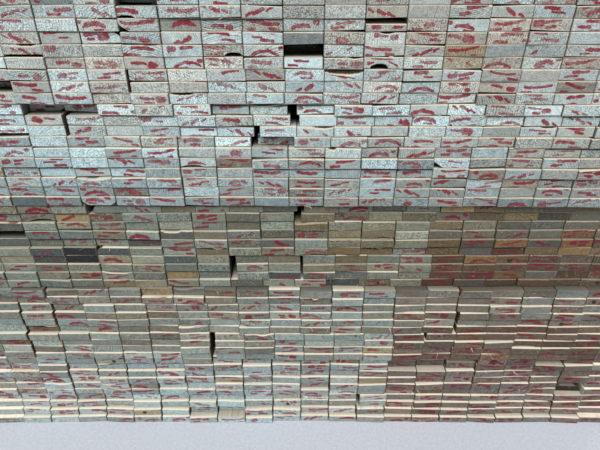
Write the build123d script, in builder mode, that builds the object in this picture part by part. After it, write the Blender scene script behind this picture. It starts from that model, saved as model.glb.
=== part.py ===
"""A stack of sawn boards laid flat: tiers of courses, each course a row of boards side by side.

The frame has +Z up, +X across the board ends and +Y along the boards. The front ends face -Y.
The origin is on the floor under the middle of the stack's bounding box.
"""

from build123d import *
from collections import namedtuple
import math
import os
import random

# Board, in mm
board_width = 64
board_thickness = 19
board_length = 2440
width_scatter = 0.6
length_scatter = 2.0
end_skew = 0.7

# Stack: a tier is a bundle of courses that was laid down together
boards_in_course = 22
courses_in_tier = 10
tier_count = 5

# How much wider than the upper boards a tier's boards were sawn, and the gaps between the boards
# of a course. Tiers are named from the floor up.
tier_swell = (1.5, 1.3, 1.0, 0.4, 0.1)
least_gap = 0.4
tier_gap = (1.1, 0.9, 0.8, 0.4, 0.3)
gap_scatter = 1.6
tier_shift = (5, 3, -8, -18, -24)

# Front ends: how far a tier's top course stands out past the course on it, how far the tier
# leans out from there to its bottom course, and how far its right side is turned out past its
# left one. About that, the boards of a course lie in runs pushed in or out together.
tier_step = (-3, 4, -6, -5, 0)
tier_lean = (10, 9, 10, 8, 4)
tier_turn = (0, 7, -3, 9, 2)
foot_step = 7
foot_courses = 2
pile_scatter = 1.5
tier_run_scatter = (2.6, 2.4, 2.4, 1.7, 1.2)
longest_run = 5
board_scatter = 0.9

# Open slots between two boards: tier, course in the tier, column on its left, courses high, width
slots = (
    (5, 2, 7, 2, 3),
    (4, 9, 11, 2, 15),
    (4, 7, 10, 2, 10),
    (4, 8, 5, 2, 7),
    (3, 10, 5, 1, 11),
    (3, 9, 11, 2, 13),
    (3, 2, 9, 3, 13),
    (3, 2, 11, 3, 5),
    (2, 6, 3, 3, 4),
    (2, 5, 16, 3, 7),
    (2, 4, 15, 1, 6),
    (2, 1, 8, 4, 11),
    (2, 1, 2, 8, 5),
    (1, 3, 13, 2, 6),
)

# Boards pushed back past the others, leaving a hollow in the front: tier, course, column, depth
hollows = (
    (5, 9, 8, 30),
    (5, 5, 12, 55),
    (5, 2, 4, 30),
    (4, 10, 5, 24),
    (4, 10, 6, 18),
    (4, 7, 11, 16),
    (3, 7, 3, 38),
    (1, 10, 15, 14),
    (1, 10, 16, 20),
    (1, 9, 15, 9),
    (1, 9, 16, 15),
    (1, 10, 17, 16),
    (1, 9, 17, 8),
    (1, 10, 20, 15),
    (1, 6, 21, 70),
    (1, 5, 21, 14),
    (1, 2, 9, 5),
)

# Wane: a corner lost where the board reached the outside of the log it was sawn from
wane_count = 22
wane_scatter = 0.35
log_radius = 118
wane_run = 15
wane_drop = 10
wane_length = 1500

# Boards waned at the front: tier, course, column, left or right, under or on top, size
front_wanes = (
    (5, 7, 8, -1, -1, 1.1),
    (5, 6, 7, 1, 1, 0.8),
    (4, 10, 5, 1, -1, 0.9),
    (4, 1, 6, -1, -1, 0.9),
    (4, 1, 6, 1, -1, 0.8),
    (3, 10, 6, -1, 1, 0.9),
    (2, 9, 14, 1, 1, 0.7),
    (1, 6, 18, -1, 1, 0.9),
    (1, 5, 21, -1, 1, 1),
    (1, 5, 21, 1, 1, 1.1),
    (1, 3, 20, 1, 1, 0.7),
)

# Front ends split off along the grain: tier, course, column, under or on top, depth, length
splits = (
    (5, 7, 14, 1, 9, 70),
    (5, 3, 13, 1, 5, 40),
    (5, 5, 5, -1, 4, 30),
    (4, 8, 4, -1, 6, 60),
    (4, 6, 19, 1, 5, 45),
    (3, 8, 5, -1, 4, 40),
    (2, 10, 4, 1, 5, 35),
    (1, 8, 16, 1, 4, 50),
)

random.seed(7)
course_count = tier_count * courses_in_tier

Board = namedtuple("Board", "left front base width length front_skew back_skew")


def slot_before(tier, course, column):
    """Return the width of the open slot on the left of a board, or nothing."""
    for slot_tier, first, left_column, high, width in slots:
        in_slot = first <= course < first + high
        if slot_tier == tier and in_slot and left_column + 1 == column:
            return width
    return 0


def push_back(tier, course, column):
    """Return how far a board lies behind its place in the front."""
    for hollow_tier, hollow_course, hollow_column, depth in hollows:
        if (hollow_tier, hollow_course, hollow_column) == (tier, course, column):
            return depth
    return 0


def runs(scatter):
    """Return how far each board of a course stands out with its run of neighbours."""
    out = []
    while len(out) < boards_in_course:
        out += [random.gauss(0, scatter)] * random.randint(1, longest_run)
    return out[:boards_in_course]


def lay_course(tier, course, piles):
    """Return the boards of one course, each beside the last one and near its own pile."""
    gap = tier_gap[tier - 1]
    sawn_width = board_width + tier_swell[tier - 1]
    pitch = sawn_width + least_gap + gap
    row_left = tier_shift[tier - 1] - boards_in_course * pitch / 2
    base = ((tier - 1) * courses_in_tier + course - 1) * board_thickness
    out = sum(tier_step[tier - 1 :]) + sum(tier_lean[tier:])
    out += tier_lean[tier - 1] * (courses_in_tier - course) / courses_in_tier
    turn = tier_turn[tier - 1] / boards_in_course
    if tier == 1:
        out += foot_step * max(0, foot_courses - course + 1)
    steps = runs(tier_run_scatter[tier - 1])
    boards = []
    reached = row_left - gap
    for column in range(1, boards_in_course + 1):
        width = sawn_width + random.uniform(-width_scatter, width_scatter)
        length = board_length + random.uniform(-length_scatter, length_scatter)
        wanted = row_left + (column - 1) * pitch + random.uniform(-gap, gap) * gap_scatter / 2
        left = max(wanted, reached + least_gap) + slot_before(tier, course, column)
        uneven = piles[column - 1] + steps[column - 1]
        uneven += random.uniform(-board_scatter, board_scatter)
        front = push_back(tier, course, column) - out - uneven - turn * column
        skews = random.gauss(0, end_skew), random.gauss(0, end_skew)
        boards.append(Board(left, front, base, width, length, *skews))
        reached = left + width
    return boards


def lay_stack():
    """Return every course of the stack, from the floor up."""
    courses = []
    for tier in range(1, tier_count + 1):
        piles = [random.uniform(-pile_scatter, pile_scatter) for _ in range(boards_in_course)]
        for course in range(1, courses_in_tier + 1):
            courses.append(lay_course(tier, course, piles))
    return courses


def centred(courses):
    """Return the courses moved so that the middle of their bounding box is over the origin."""
    every = [board for boards in courses for board in boards]
    left = min(board.left for board in every)
    right = max(board.left + board.width for board in every)
    front = min(board.front - abs(board.front_skew) for board in every)
    back = max(board.front + board.length + abs(board.back_skew) for board in every)
    across, along = (left + right) / 2, (front + back) / 2
    return [
        [board._replace(left=board.left - across, front=board.front - along) for board in boards]
        for boards in courses
    ]


def log_axis(board, side, rise, at_front, size):
    """Return the two ends of the log's axis, for a board with its wane on the given corner.

    The log's round surface crosses the board's wide face a wane_run from the corner and its
    narrow face a wane_drop from it, and leaves the board a wane_length from the waned end.
    """
    run, drop = wane_run * size, wane_drop * size
    corner_x = board.left + board.width / 2 + side * board.width / 2
    corner_z = board.base + board_thickness / 2 + rise * board_thickness / 2
    chord = math.hypot(run, drop)
    inward_x, inward_z = -side * drop / chord, -rise * run / chord
    reach = math.sqrt(log_radius**2 - chord**2 / 4)
    waned_x = corner_x - side * run / 2 + inward_x * reach
    waned_z = corner_z - rise * drop / 2 + inward_z * reach
    lift = run * drop / chord * board.length / wane_length
    sound_x, sound_z = waned_x - inward_x * lift, waned_z - inward_z * lift
    front, back = board.front, board.front + board.length
    waned_y, sound_y = (front, back) if at_front else (back, front)
    return Vector(waned_x, waned_y, waned_z), Vector(sound_x, sound_y, sound_z)


def saw_board(board, wanes, split):
    """Return one board: its plan with the two saw cuts as its ends, less its wanes and its split."""
    left, right = board.left, board.left + board.width
    front, back = board.front, board.front + board.length
    plan = (
        (left, front - board.front_skew),
        (right, front + board.front_skew),
        (right, back + board.back_skew),
        (left, back - board.back_skew),
    )
    with BuildPart() as piece:
        with BuildSketch(Plane.XY.offset(board.base)):
            Polygon(*plan, align=None)
        extrude(amount=board_thickness)
        for wane in wanes:
            waned, sound = log_axis(board, *wane)
            axis = (sound - waned).normalized()
            with BuildSketch(Plane(origin=waned - axis * board_width, z_dir=axis)):
                Circle(log_radius)
            extrude(amount=board.length + 2 * board_width, mode=Mode.INTERSECT)
        if split:
            rise, depth, length = split
            face = board.base + board_thickness / 2 + rise * board_thickness / 2
            slope = rise * depth / length
            start, end = front - board_thickness, front + length
            wedge = (
                (start, face - slope * (end - start)),
                (end, face),
                (end, face + rise * board_thickness),
                (start, face + rise * board_thickness),
            )
            with BuildSketch(Plane.YZ.offset(left - 1)):
                Polygon(*wedge, align=None)
            extrude(amount=board.width + 2, mode=Mode.SUBTRACT)
    return piece.part


def place_of(tier, course, column):
    """Return a board's row from the floor and its place in it, both counted from nothing."""
    return (tier - 1) * courses_in_tier + course - 1, column - 1


courses = centred(lay_stack())
split_at = {place_of(*split[:3]): split[3:] for split in splits}
wanes_at = {}
for *place, side, rise, size in front_wanes:
    wanes_at.setdefault(place_of(*place), []).append((side, rise, True, size))

# The other wanes have their own corners, ends and sizes
places = [(row, column) for row in range(course_count) for column in range(boards_in_course)]
places = [place for place in places if place not in wanes_at and place not in split_at]
for place in random.sample(places, wane_count):
    side, rise = random.choice((-1, 1)), random.choice((-1, 1))
    at_front = random.random() < 0.6
    size = random.uniform(1 - wane_scatter, 1 + wane_scatter)
    wanes_at[place] = [(side, rise, at_front, size)]

os.makedirs("parts", exist_ok=True)
for row, boards in enumerate(courses):
    with BuildPart() as course:
        for column, board in enumerate(boards):
            place = row, column
            add(saw_board(board, wanes_at.get(place, ()), split_at.get(place)))
    name = f"course_{row + 1:02d}"
    course.part.label = name
    export_step(course.part, f"parts/{name}.step")
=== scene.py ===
"""A stack of sawn boards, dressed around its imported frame.

Lengths are in metres in the frame's axes: +Z up, +Y along the boards, front ends facing -Y.
Every board is read from the frame, so it lies where the frame has it. In the tables, tiers count
from 1 at the floor, the courses of a tier from 1 at its bottom and columns from 1 on the left.
"""

import math
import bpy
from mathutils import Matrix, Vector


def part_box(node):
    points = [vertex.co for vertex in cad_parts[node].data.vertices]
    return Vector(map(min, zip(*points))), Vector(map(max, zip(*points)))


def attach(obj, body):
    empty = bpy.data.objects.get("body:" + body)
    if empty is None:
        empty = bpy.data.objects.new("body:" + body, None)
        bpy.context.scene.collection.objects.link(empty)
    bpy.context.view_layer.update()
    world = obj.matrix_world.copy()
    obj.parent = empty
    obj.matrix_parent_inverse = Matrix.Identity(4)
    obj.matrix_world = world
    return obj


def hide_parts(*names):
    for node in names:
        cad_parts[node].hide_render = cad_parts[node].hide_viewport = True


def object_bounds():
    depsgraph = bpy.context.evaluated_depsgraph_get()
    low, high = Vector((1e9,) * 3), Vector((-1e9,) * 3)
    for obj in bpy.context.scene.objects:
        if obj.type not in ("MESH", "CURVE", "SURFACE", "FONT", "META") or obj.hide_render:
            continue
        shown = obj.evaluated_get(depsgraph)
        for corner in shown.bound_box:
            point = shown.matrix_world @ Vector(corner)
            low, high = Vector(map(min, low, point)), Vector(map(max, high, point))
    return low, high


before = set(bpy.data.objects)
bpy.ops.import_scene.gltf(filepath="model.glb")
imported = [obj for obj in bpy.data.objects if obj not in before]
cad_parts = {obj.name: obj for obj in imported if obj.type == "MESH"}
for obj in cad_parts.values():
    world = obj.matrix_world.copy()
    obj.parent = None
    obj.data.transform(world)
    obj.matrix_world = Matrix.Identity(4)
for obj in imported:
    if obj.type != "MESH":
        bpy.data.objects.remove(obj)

from types import SimpleNamespace

import bpy
import numpy as np

bl_info = {
    "name": "Stack of sawn boards",
    "version": (1, 0, 0),
    "blender": (4, 5, 0),
    "location": "View3D > Sidebar > Boards",
    "description": "Dresses a stack of sawn boards with ragged ends, grain, stains and paint marks",
    "category": "Object",
}

CAD_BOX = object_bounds()
COURSES = sorted(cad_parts)
COURSES_IN_TIER = 10
MM = 0.001

# Half the width and the length of a board, in mm
HALF_WIDTH = 32
BOARD_LENGTH = 2440

# How far the normal of a wane leans sideways at least, and that of a split along the board
WANE_LEAN = 0.1
SPLIT_LEAN = 0.03

# One seed for each lot of chance
SEEDS = SimpleNamespace(torn=5, shape=11, finish=23, tears=31, fibres=47, shade=61, grey_fronts=67)


def linear(red, green, blue):
    """Return a colour given in 0 to 255 display values as linear values from 0 to 1."""
    shown = np.array((red, green, blue)) / 255
    return tuple(np.where(shown <= 0.04045, shown / 12.92, ((shown + 0.055) / 1.055) ** 2.4))


def opaque(red, green, blue):
    """Return a colour given in display values as the opaque one that a colour socket takes."""
    return (*linear(red, green, blue), 1.0)


def colour_setting(name, description, *display):
    """Return a colour that a user can set, with its default in display values."""
    return bpy.props.FloatVectorProperty(
        name=name, description=description, default=linear(*display), size=3, min=0.0, max=1.0,
        subtype="COLOR",
    )


class BoardLooks(bpy.types.PropertyGroup):
    """Sizes and colours of the boards."""

    edge_round: bpy.props.FloatProperty(
        name="Edge wear", description="Width of the worn edge round each board",
        default=0.7 * MM, min=0.0, unit="LENGTH",
    )
    slack: bpy.props.FloatProperty(
        name="Slack", description="Usual gap between a board's face and the next course",
        default=0.35 * MM, min=0.0, unit="LENGTH",
    )
    ring_spacing: bpy.props.FloatProperty(
        name="Ring spacing", description="Usual width of a growth ring",
        default=3.4 * MM, min=0.5 * MM, unit="LENGTH",
    )
    marked_share: bpy.props.FloatProperty(
        name="Marked boards", description="Share of the front ends with paint strokes on them",
        default=0.75, min=0.0, max=1.0, subtype="FACTOR",
    )
    paint_load: bpy.props.FloatProperty(
        name="Paint load", description="Width of the paint strokes over their drawn width",
        default=1.1, min=0.2,
    )
    paint: colour_setting("Paint", "Colour of the paint strokes", 138, 31, 47)
    wide_faces: colour_setting(
        "Wide faces", "Colour of the boards' tops and undersides", 220, 212, 193,
    )
    # The narrow faces' dark brown is painted shade of the gaps between boards.
    shaded_narrow_faces: colour_setting("Narrow faces", "Colour of the boards' sides", 98, 78, 57)


class StageLooks(bpy.types.PropertyGroup):
    """Camera, floor and light."""

    camera_distance: bpy.props.FloatProperty(
        name="Camera distance", description="From the top tier's front ends to the camera",
        default=0.775, min=0.1, unit="LENGTH",
    )
    camera_height: bpy.props.FloatProperty(
        name="Camera height", description="Above the floor", default=0.954, min=0.0, unit="LENGTH",
    )
    camera_pitch: bpy.props.FloatProperty(
        name="Camera pitch", description="How far the camera looks down",
        default=math.radians(28.9), subtype="ANGLE",
    )
    floor: colour_setting("Floor", "Colour of the floor", 180, 184, 191)


# Colours of the weathered ends, from the floor up: the palest, coolest boards of a tier and the
# warmest, darkest ones
COOL_ENDS = ((160, 181, 183), (136, 151, 146), (120, 132, 124), (170, 193, 196), (169, 189, 190))
WARM_ENDS = ((146, 145, 138), (121, 114, 102), (109, 101, 80), (157, 160, 152), (160, 156, 145))

# How pale the ends are at some courses above the floor, in between which it changes evenly
# The dips at the seams between tiers are in part painted shade of the overhanging tier, in part the
# ends' own tone.
TONED = (0, 3, 9, 10, 19, 20, 25, 29, 30, 34, 39, 40, 49)
TONES = (0.94, 0.88, 0.76, 0.98, 0.8, 0.97, 0.98, 1.02, 0.62, 0.85, 1.22, 1.08, 0.94)

# By tier: how uneven the tones of its ends are, and how much warmer and paler the ends grow per
# metre to the right
TIER_UNEVEN = (0.16, 0.16, 0.16, 0.13, 0.14)
SIDE_WARMTH = (0.0, 0.0, 0.0, 0.3, 0.6)
SIDE_TONE = (0.0, 0.0, 0.0, -0.05, -0.15)

# By tier: the share of stained ends, how many more ends are marked than usual, how loosely the
# boards lie and how grey their long faces are
TIER_STAINED = (0.06, 0.1, 0.22, 0.03, 0.03)
TIER_MARKED = (0.97, 0.72, 0.54, 1.16, 1.14)
TIER_LOOSE = (1.1, 1.1, 1.2, 2.1, 1.9)
TIER_GREY = (0.3, 0.4, 1.5, 1.0, 1.0)

# A browner, darker batch of boards lies on the right of the lower tiers: where it starts in each
# tier, over what width it sets in, how much warmer it is, its colour over the other boards' and
# its share at some courses above the floor
BATCH_EDGE = (0.21, 0.21, 0.26, 0.3, 0.3)
BATCH_EASE = 0.06
BATCH_WARMTH = (0.33, 0.4, 0.33, 0.0, 0.0)
BATCH_TINT = (0.57, 0.43, 0.4)
BATCHED = (0, 9, 10, 14, 15, 19, 20, 25, 26, 29, 30, 49)
BATCH_SHARE = (0.95, 0.9, 1.0, 0.98, 0.25, 0.15, 1.12, 1.08, 0.55, 0.5, 0.1, 0.1)

# Stained front ends of the third tier: course, column, strength, colour
NAVY, BLUE, GREY = (27, 32, 36), (51, 57, 60), (78, 81, 78)
OCHRE, BROWN, TAN, RUST = (128, 101, 60), (98, 82, 56), (142, 124, 84), (114, 70, 38)
STAINED_TIER = 3
STAINED = (
    (5, 5, 0.95, NAVY), (4, 5, 0.95, NAVY), (4, 4, 0.8, BLUE), (5, 4, 0.85, BLUE),
    (5, 6, 0.85, BLUE), (7, 4, 0.7, GREY), (7, 8, 0.75, GREY), (4, 8, 0.75, BLUE),
    (8, 19, 0.6, GREY), (7, 18, 0.6, GREY), (5, 17, 0.7, GREY), (6, 19, 0.7, GREY),
    (6, 11, 0.8, GREY), (7, 11, 0.5, GREY), (2, 11, 0.85, BLUE), (1, 13, 0.85, BLUE),
    (2, 13, 0.8, GREY), (6, 10, 0.6, GREY), (7, 10, 0.5, GREY), (5, 20, 0.7, OCHRE),
    (6, 20, 0.7, RUST), (7, 20, 0.7, RUST), (6, 18, 0.55, OCHRE), (5, 19, 0.8, BROWN),
    (5, 16, 0.8, BROWN), (6, 16, 0.7, BROWN), (2, 18, 0.7, BROWN), (4, 13, 0.8, BROWN),
    (5, 13, 0.9, BROWN), (5, 14, 0.9, BROWN), (10, 16, 0.9, TAN), (9, 5, 0.9, TAN),
    (2, 8, 0.8, OCHRE),
)

# Stains that fall by chance: how often each colour does
CHANCE_STAINS = ((BLUE, 0.06), (GREY, 0.26), (OCHRE, 0.14), (BROWN, 0.34), (TAN, 0.2))

# Knots that show on front ends: tier, course, column, place across and up in mm, radius in mm
END_KNOTS = ((1, 10, 18, 2, 1, 8), (1, 10, 19, 8, 1, 6), (3, 1, 21, 4, 0, 5), (1, 7, 17, 20, 0, 4))
KNOT_SHARE = 0.006

# Torn front ends: tier, course, column, under (-1) or on top (1), then each loss's middle and half
# width across in mm and its depth in mm
TORN = (
    (5, 4, 14, -1, (-6, 15, 8)), (5, 3, 13, 1, (4, 26, 5), (-18, 9, 3)),
    (5, 8, 8, -1, (-20, 14, 4)), (5, 10, 3, 1, (10, 20, 3)), (5, 2, 4, -1, (-4, 30, 3)),
    (5, 5, 10, -1, (16, 14, 5)), (4, 9, 1, 1, (0, 24, 5)), (4, 8, 12, 1, (14, 18, 4)),
    (4, 5, 9, -1, (-12, 20, 4)), (4, 3, 17, 1, (8, 22, 3)), (4, 10, 11, 1, (-8, 24, 4)),
    (3, 9, 4, -1, (6, 22, 5)), (3, 7, 8, 1, (-10, 18, 4)), (3, 5, 12, -1, (12, 20, 5)),
    (3, 2, 6, 1, (0, 26, 4)), (2, 10, 8, 1, (-12, 18, 5)), (2, 8, 15, -1, (8, 20, 4)),
    (2, 5, 3, 1, (16, 16, 5)), (2, 3, 19, -1, (-6, 26, 4)), (1, 10, 9, 1, (4, 22, 4)),
    (1, 6, 5, 1, (-14, 16, 4)), (1, 4, 11, -1, (10, 20, 4)), (1, 9, 2, 1, (-4, 24, 5)),
)
TORN_SHARE = 0.02

# The kinds of marks: bars that lie flat, short dashes in a slanted row, a wide bow over a bar, and
# a blot beside a dash. Each stroke has a place across and up, a half length and half a width, in
# mm, and its bend: it leaves its straight middle line by the bend times the way along it squared.
# The strokes of a mark share one turn, in radians, and stand apart.
MARKS = (
    ((-5, 5, 13, 2.4, 0.0), (9, -2, 9, 2.0, 0.0), (-8, -7, 8, 2.2, 0.0)),
    ((8, 5, 13, 2.8, 0.005), (-10, -6, 12, 2.4, 0.004), (27, -6, 2, 2.4, 0.0)),
    ((-15, -3, 5, 2.2, 0.0), (1, 1, 7, 3.0, 0.0), (18, 4, 4, 1.8, 0.0)),
    ((2, 1, 17, 3.2, 0.014), (-4, -7, 7, 2.0, 0.0), (26, 5, 2, 3.0, 0.0)),
    ((-4, 3, 20, 2.6, -0.004), (15, -6, 7, 2.2, 0.0), (-20, -6, 4, 3.0, 0.0)),
    ((-12, 0, 4, 5.0, 0.0), (10, 3, 9, 2.4, 0.0), (8, -5, 6, 2.2, 0.0)),
)
MARK_TURNS = (0.03, 0.08, 0.5, 0.0, -0.1, 0.05)

# How often a marked end has the first, second and third stroke of its mark
STROKE_SHARES = (1.0, 0.85, 0.6)

# Details of the ends: the painted highlight of the upper edge, flecks, a knot's wood and the dulled
# paint
EDGE_HIGHLIGHT, FLECK, END_KNOT, DULL_PAINT = (232, 224, 204), (216, 213, 200), (46, 34, 28), (116, 28, 44)

# Details of the long faces: late wood, the wood round a knot, the knot itself and bark
LATE_WOOD, KNOT_HALO, KNOT, BARK = (196, 160, 112), (172, 128, 80), (116, 76, 46), (140, 104, 72)

# A stroke or knot that isn't there lies this many mm off the end
FAR_OFF = 500.0

SPLINTERS = 220


def read_mesh(name):
    """Return a node's corner places, each of them once, and the corners of each triangle."""
    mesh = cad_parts[name].data
    places = np.empty(len(mesh.vertices) * 3)
    mesh.vertices.foreach_get("co", places)
    loops = np.empty(len(mesh.loops), dtype=int)
    mesh.loops.foreach_get("vertex_index", loops)
    places, merged = np.unique(places.reshape(-1, 3).round(6), axis=0, return_inverse=True)
    return places, merged.ravel()[loops].reshape(-1, 3)


def loose_parts(count, corners):
    """Return which group of joined triangles each of some corners is in.

    Each corner starts with its own number, and the lowest number of a triangle goes to all its
    corners until nothing changes.
    """
    label = np.arange(count)
    while True:
        lowest = label.copy()
        np.minimum.at(lowest, corners.ravel(), np.repeat(label[corners].min(axis=1), 3))
        if (lowest == label).all():
            return np.unique(label, return_inverse=True)[1].ravel()
        label = lowest


def board_frame(name):
    """Return the boards of one course as arrays, with the flats of their wanes and splits.

    A board is a group of triangles that share corners. Its sides are its lowest and highest X,
    and the corners of its sawn ends are its lowest and highest Y at each side. A flat is a
    triangle that slopes, given as its board, its normal and how far the normal reaches.
    """
    places, corners = read_mesh(name)
    number = loose_parts(len(places), corners)
    count = number.max() + 1

    def extreme(values, pick, mask=None):
        """Return each board's lowest or highest value among the masked corners."""
        found = np.full(count, np.inf if pick is np.minimum else -np.inf)
        mask = np.ones(len(values), bool) if mask is None else mask
        pick.at(found, number[mask], values[mask])
        return found

    x, y, z = places.T
    left, right = extreme(x, np.minimum), extreme(x, np.maximum)
    close = 0.1 * MM
    at_left, at_right = x < left[number] + close, x > right[number] - close
    boards = SimpleNamespace(
        left=left, right=right, base=extreme(z, np.minimum), top=extreme(z, np.maximum),
        front_left=extreme(y, np.minimum, at_left), front_right=extreme(y, np.minimum, at_right),
        back_left=extreme(y, np.maximum, at_left), back_right=extreme(y, np.maximum, at_right),
    )
    order = np.argsort(left)
    for key, values in vars(boards).items():
        setattr(boards, key, values[order])
    corner = places[corners]
    normals = np.cross(corner[:, 1] - corner[:, 0], corner[:, 2] - corner[:, 0])
    normals /= np.linalg.norm(normals, axis=1, keepdims=True) + 1e-12
    sideways, along, up = np.abs(normals).T
    sloping = ((sideways > WANE_LEAN) | (along > SPLIT_LEAN)) & (up > 0.1)
    boards.flats = [
        (int(np.flatnonzero(order == number[face[0]])[0]), normal, float(normal @ places[face[0]]))
        for face, normal in zip(corners[sloping], normals[sloping])
    ]
    return boards


def row_of(tier, course):
    """Return how many courses lie under a course of a tier."""
    return (tier - 1) * COURSES_IN_TIER + course - 1


def is_board(stack, tier, course, column):
    """Return which board of the stack lies in a column of a course of a tier."""
    return (stack.course == row_of(tier, course)) & (stack.column == column - 1)


def by_tier(stack, values):
    """Return each board's value out of one value a tier."""
    return np.array(values)[stack.tier]


def read_stack():
    """Return all the boards of the stack as arrays, one entry a board, from the floor up."""
    rows = [board_frame(name) for name in COURSES]
    stack = SimpleNamespace()
    for key in vars(rows[0]):
        if key != "flats":
            setattr(stack, key, np.concatenate([getattr(row, key) for row in rows]))
    sizes = np.array([len(row.left) for row in rows])
    stack.course = np.repeat(np.arange(len(rows)), sizes)
    stack.column = np.concatenate([np.arange(size) for size in sizes])
    stack.last = stack.column == (sizes - 1)[stack.course]
    starts = np.cumsum(sizes) - sizes
    stack.flats = [
        (start + board, normal, reach)
        for start, row in zip(starts, rows)
        for board, normal, reach in row.flats
    ]
    stack.count = len(stack.left)
    stack.tier = stack.course // COURSES_IN_TIER
    stack.x = (stack.left + stack.right) / 2
    stack.front = (stack.front_left + stack.front_right) / 2
    stack.z = (stack.base + stack.top) / 2
    stack.torn = np.random.default_rng(SEEDS.torn).random(stack.count) < TORN_SHARE
    for tier, course, column, *_ in TORN:
        stack.torn |= is_board(stack, tier, course, column)
    stack.fine = stack.torn.copy()
    stack.fine[[board for board, _, _ in stack.flats]] = True
    return stack


def section_ring(across, up):
    """Return a board's section as a ring of points, anticlockwise seen from the front.

    A point is a place across and up the section from -1 to 1, how many edge wears it lies in from
    the corner each way, and how far it is round the ring, where each face counts one and fills
    most of it. The given places lie between the corners.
    """
    filled = 0.95
    low = [(-1, -1, -1, 0), *((u, -1, 0, 0) for u in across), (1, -1, 1, 0)]
    right = [(1, -1, 0, -1), *((1, v, 0, 0) for v in up), (1, 1, 0, 1)]
    high = [(-u, -v, -a, -b) for u, v, a, b in low]
    left = [(-u, -v, -a, -b) for u, v, a, b in right]
    ring = np.array(low + right + high + left, dtype=float)
    face = np.repeat((0, 1, 2, 3), (len(low), len(right), len(high), len(left)))
    way = np.stack([ring[:, 0], ring[:, 1], -ring[:, 0], -ring[:, 1]])[face, np.arange(len(ring))]
    return np.column_stack([ring, face + filled * (way + 1) / 2])


# The number of the upper face round the ring
UPPER = 2

# Sound boards have few faces. Torn, waned and split ones have more, for the shape of their losses.
# Apart from those at the worn edges, sections lie at some mm in from the front end, at a share of
# the length and at some mm in from the back end.
SOUND = SimpleNamespace(ring=section_ring((), ()), near=(30,), far=0.5, back=30)
FINE = SimpleNamespace(
    ring=section_ring(np.linspace(-0.94, 0.94, 24), (-0.4, 0.3)),
    near=(4, 14, 40, 90), far=0.5, back=30,
)

# Both kinds draw for this many sections, so that a board has the same chances in either
SECTIONS_DRAWN = 12


class Random:
    """Seeded draws for the whole stack, one per board."""

    def __init__(self, seed, count):
        self.source, self.count = np.random.default_rng(seed), count

    def between(self, low, high, *more):
        """Return evenly spread values."""
        return self.source.uniform(low, high, (self.count, *more))

    def around(self, middle, scatter):
        """Return values spread about a middle as a bell curve is."""
        return self.source.normal(middle, scatter, self.count)

    def happens(self, share):
        """Return true for about that share of the boards."""
        return self.source.random(self.count) < share


def stations_of(length, wear, kind):
    """Return the places of a board's sections along it, and which of them lie at its sawn ends."""
    end = np.zeros_like(wear)
    front = np.concatenate([end, wear, end + np.array(kind.near) * MM], axis=1)
    back = length - np.concatenate([end + kind.back * MM, wear, end], axis=1)
    along = np.concatenate([front, length * kind.far, back], axis=1)
    at_end = np.zeros(along.shape[1])
    at_end[[0, -1]] = 1
    return along, at_end


def slack_of(stack, looks, draw, stations):
    """Return the slack at each board's four long edges in every section.

    It is a gamma value per edge times the tier's looseness, cut off at a few mm, and drifts from
    section to section.
    """
    skewed, most = 0.9, 2.6 * MM
    slack = draw.source.gamma(skewed, looks.slack / skewed, (stack.count, 4))
    slack = np.minimum(slack * by_tier(stack, TIER_LOOSE)[:, None], most)
    return slack[:, None] * draw.between(0.6, 1.4, SECTIONS_DRAWN, 1)[:, :stations]


def board_surfaces(stack, looks, kind):
    """Return the corners of every board as an array: board, station along it, ring point, XYZ.

    A station is a section of the board. X runs from side to side less a small shrinkage, Z from
    the bottom face to the top face less a slack that differs at each corner and drifts along the
    board, and Y from sawn end to sawn end in a straight line between the end's two corners. The
    first and last stations are drawn in by the edge wear. Wanes and splits then cut the corners
    back to the frame's flats. With the corners come where wanes have cut them and how far along
    the board each station lies.
    """
    draw = Random(SEEDS.shape, stack.count)
    across, up, in_x, in_z, _ = kind.ring.T
    wear = looks.edge_round * draw.between(0.6, 1.5, 1)
    length = ((stack.back_left + stack.back_right) - (stack.front_left + stack.front_right)) / 2
    along, kind.at_end = stations_of(length[:, None], wear, kind)
    share = along / length[:, None]
    side = (across + 1) / 2
    front = stack.front_left[:, None] + (stack.front_right - stack.front_left)[:, None] * side
    back = stack.back_left[:, None] + (stack.back_right - stack.back_left)[:, None] * side
    y = front[:, None] * (1 - share[..., None]) + back[:, None] * share[..., None]
    wear = wear[:, None]
    at_end = kind.at_end[None, :, None]

    stations = len(kind.at_end)
    slack = slack_of(stack, looks, draw, stations)
    low = slack[..., 0, None] * (1 - side) + slack[..., 1, None] * side
    high = slack[..., 2, None] * (1 - side) + slack[..., 3, None] * side
    bottom = stack.base[:, None, None] + low
    top = stack.top[:, None, None] - high
    worn_x = np.maximum(np.abs(in_x), at_end) * (np.abs(across) == 1) * across * wear
    worn_z = np.maximum(np.abs(in_z), at_end) * (np.abs(up) == 1) * up * wear
    z = bottom + (top - bottom) * (up + 1) / 2 - worn_z
    shrink = draw.between(0.02 * MM, 0.25 * MM, SECTIONS_DRAWN, 1)[:, :stations]
    half = (stack.right - stack.left)[:, None, None] / 2 - shrink
    x = stack.x[:, None, None] + across * half - worn_x
    surface = np.stack(np.broadcast_arrays(x, y, z), axis=-1).copy()

    bare = np.zeros(surface.shape[:3])
    for board, normal, reach in stack.flats:
        over = surface[board] @ normal - reach
        level = np.array((normal[0], 0.0, normal[2]))
        surface[board] -= np.maximum(over, 0)[..., None] * level / (level @ level)
        bare[board] = np.maximum(bare[board], (over > 0) & (abs(normal[0]) > WANE_LEAN))
    return surface, bare, share


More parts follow.
